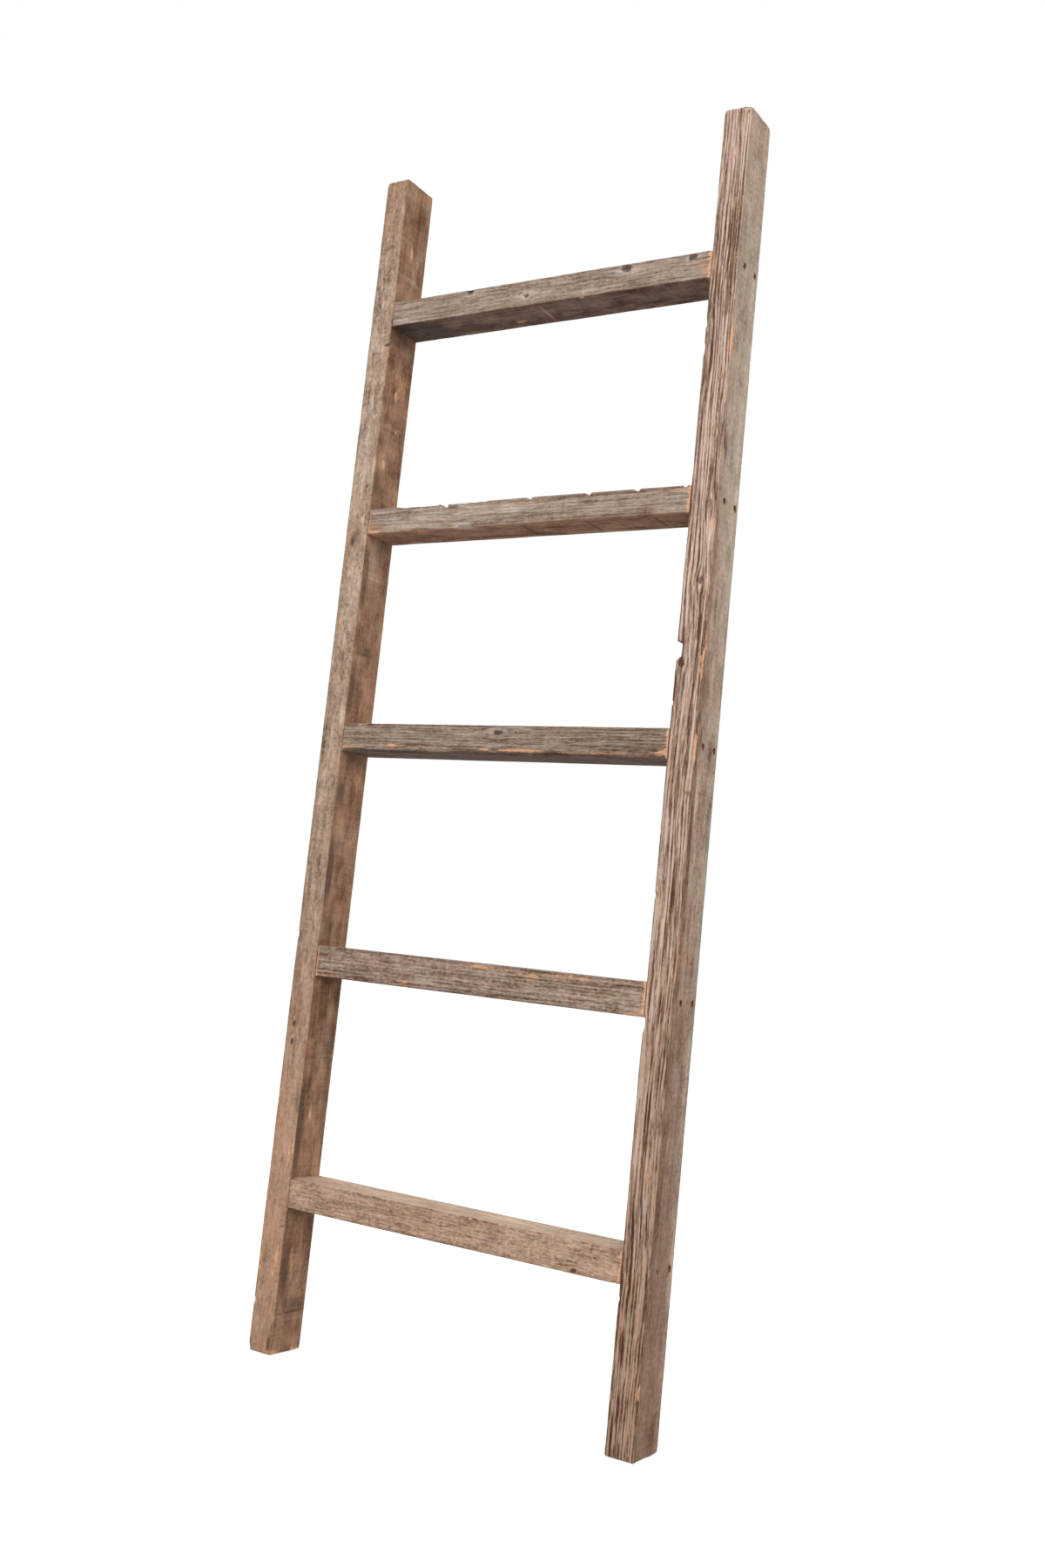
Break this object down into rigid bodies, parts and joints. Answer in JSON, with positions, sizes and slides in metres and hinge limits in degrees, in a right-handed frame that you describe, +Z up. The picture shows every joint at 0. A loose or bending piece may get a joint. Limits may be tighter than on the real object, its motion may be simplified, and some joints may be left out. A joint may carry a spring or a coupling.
{
  "type": "blanket ladder",
  "caption": "Rigid ladder of old wood that leans on a wall, with plain uprights and flat rungs butted between them, for hanging blankets and towels.",
  "frame": {"origin": "on the floor, midway between the two uprights and halfway through their depth", "axes": "+Z up along the uprights, +X across the ladder towards the right-hand upright as seen from the front, +Y from the front to the back that leans on a wall"},
  "size_m": [0.58, 0.064, 1.676],
  "materials": {
    "stile_left": "old sawn wood, unfinished, warm brown sawn inner face, matt",
    "stile_right": "old weathered wood, unfinished, raised grain on the front, matt",
    "rung_1": "old weathered wood, unfinished, worn edges, matt",
    "rung_2": "old weathered wood, unfinished, worn edges, matt",
    "rung_3": "old weathered wood, unfinished, worn edges, matt",
    "rung_4": "old weathered wood, unfinished, worn edges, matt",
    "rung_5": "old weathered wood, unfinished, worn edges, matt",
    "screw": "steel gone brown with rust, dull"
  },
  "bodies": {
    "root": {"stile_left": "stile_left", "stile_right": "stile_right", "rung_1": "rung_1", "rung_2": "rung_2", "rung_3": "rung_3", "rung_4": "rung_4", "rung_5": "rung_5", "screw_1_left_front": "screw", "screw_1_left_back": "screw", "screw_1_right_front": "screw", "screw_1_right_back": "screw", "screw_2_left_front": "screw", "screw_2_left_back": "screw", "screw_2_right_front": "screw", "screw_2_right_back": "screw", "screw_3_left_front": "screw", "screw_3_left_back": "screw", "screw_3_right_front": "screw", "screw_3_right_back": "screw", "screw_4_left_front": "screw", "screw_4_left_back": "screw", "screw_4_right_front": "screw", "screw_4_right_back": "screw", "screw_5_left_front": "screw", "screw_5_left_back": "screw", "screw_5_right_front": "screw", "screw_5_right_back": "screw"}
  },
  "joints": []
}
